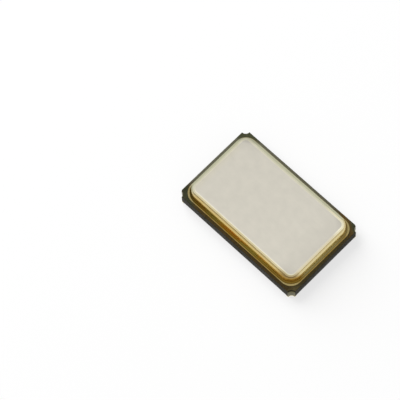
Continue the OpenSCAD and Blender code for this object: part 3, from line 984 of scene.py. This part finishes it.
# %% [markdown]
# ## The table
#
# The part lies on a white table. It would need a lot of light to look white, and that light would
# wash out the part. The table glows instead, but only for rays that come straight from the camera,
# from a reflection or through glass, so the glow adds no light to the part. Matt grey paint under
# the glow shows the shadow.

# %% White table
GLOW = 0.68
TABLE_WHITE = 0.32


def seen_directly(nodes, links):
    """1 for rays from the camera, from a reflection or through glass, else 0."""
    path = nodes.new("ShaderNodeLightPath")
    value = path.outputs["Is Camera Ray"]
    for name in ("Is Glossy Ray", "Is Transmission Ray"):
        either = nodes.new("ShaderNodeMath")
        either.operation = "MAXIMUM"
        links.new(value, either.inputs[0])
        links.new(path.outputs[name], either.inputs[1])
        value = either.outputs["Value"]
    return value


bpy.ops.object.select_all(action="DESELECT")
bpy.ops.mesh.primitive_plane_add(size=0.8)
table = bpy.context.object
table.name = "table"
table_paint = bpy.data.materials.new("white_table")
table_paint.use_nodes = True
nodes, links = table_paint.node_tree.nodes, table_paint.node_tree.links
nodes.clear()
matt, glow, total, output = (nodes.new("ShaderNode" + kind) for kind in
                             ("BsdfDiffuse", "Emission", "AddShader", "OutputMaterial"))
matt.inputs["Color"].default_value = (TABLE_WHITE,) * 3 + (1,)
strength = nodes.new("ShaderNodeMath")
strength.operation = "MULTIPLY"
strength.inputs[1].default_value = GLOW
links.new(seen_directly(nodes, links), strength.inputs[0])
links.new(strength.outputs["Value"], glow.inputs["Strength"])
links.new(matt.outputs["BSDF"], total.inputs[0])
links.new(glow.outputs["Emission"], total.inputs[1])
links.new(total.outputs["Shader"], output.inputs["Surface"])
table.data.materials.append(table_paint)

# %% [markdown]
# ## Sky and lamp
#
# A large soft lamp stands behind the part and to the left, so the shadow falls towards the camera.
# All round is a white sky. Metal mirrors it, so for reflections it is fully white, and slightly
# brighter low in front, which gives the front walls their sheen. For matt surfaces the sky is much
# weaker, because light from everywhere would wash out the shadow of the lamp. The lamp itself is
# kept out of reflections, so that it leaves no glare on the lid.

# %% Sky and lamp
LAMP_POWER = 1.3
SKY_FILL = 0.4
LAMP_SIZE = 0.30
LAMP_TURN, LAMP_RISE, LAMP_AWAY = 176, 36, 0.32


def direction(turn, rise):
    """The direction that is turned that far from +X and rises that far above the table."""
    turn, rise = math.radians(turn), math.radians(rise)
    return Vector((math.cos(rise) * math.cos(turn), math.cos(rise) * math.sin(turn),
                   math.sin(rise)))


sky = bpy.data.worlds.new("sky")
bpy.context.scene.world = sky
sky.use_nodes = True
nodes, links = sky.node_tree.nodes, sky.node_tree.links
place, side, shade, white = (nodes.new("ShaderNode" + kind)
                             for kind in ("TexCoord", "VectorMath", "MapRange", "Mix"))
side.operation = "DOT_PRODUCT"
side.inputs[1].default_value = direction(-45, 20)
for name, value in (("From Min", -0.1), ("From Max", 0.7), ("To Min", 1.0), ("To Max", 1.28)):
    shade.inputs[name].default_value = value
links.new(place.outputs["Generated"], side.inputs[0])
links.new(side.outputs["Value"], shade.inputs["Value"])
links.new(seen_directly(nodes, links), white.inputs["Factor"])
white.inputs["A"].default_value = SKY_FILL
links.new(shade.outputs["Result"], white.inputs["B"])
links.new(white.outputs["Result"], nodes["Background"].inputs["Strength"])
nodes["Background"].inputs["Color"].default_value = (1, 1, 1, 1)


def around(turn, rise, away, target=(0, 0, 0)):
    """A place at that distance from the target, and the turn that looks back at it."""
    step = direction(turn, rise)
    return Vector(target) + step * away, step.to_track_quat("Z", "Y").to_euler()


place, facing = around(LAMP_TURN, LAMP_RISE, LAMP_AWAY)
bpy.ops.object.light_add(type="AREA", location=place, rotation=facing)
lamp = bpy.context.object
lamp.name = "soft_lamp"
lamp.data.size = LAMP_SIZE
lamp.data.energy = LAMP_POWER
lamp.visible_glossy = False
print("Lamp at", tuple(round(x, 3) for x in lamp.location))

# %% [markdown]
# ## The camera
#
# The camera looks down steeply from a long way off for so small an object, through a long lens, and
# one corner of the part points towards it.

# %% Camera
CAMERA_TURN, CAMERA_RISE, CAMERA_ROLL = -38.95, 67.83, -6.98
CAMERA_AWAY = 0.0702
AIM = (-0.001972, -0.001116, 0)
LENS, SENSOR = 197, 36

place, facing = around(CAMERA_TURN, CAMERA_RISE, CAMERA_AWAY, AIM)
bpy.ops.object.camera_add(location=place, rotation=facing)
camera = bpy.context.object
camera.rotation_euler.rotate_axis("Z", math.radians(CAMERA_ROLL))
camera.data.lens = LENS
camera.data.sensor_width = SENSOR
camera.data.clip_start = 0.005
camera.data.clip_end = 10
bpy.context.scene.camera = camera
bpy.context.scene.view_settings.view_transform = "Standard"
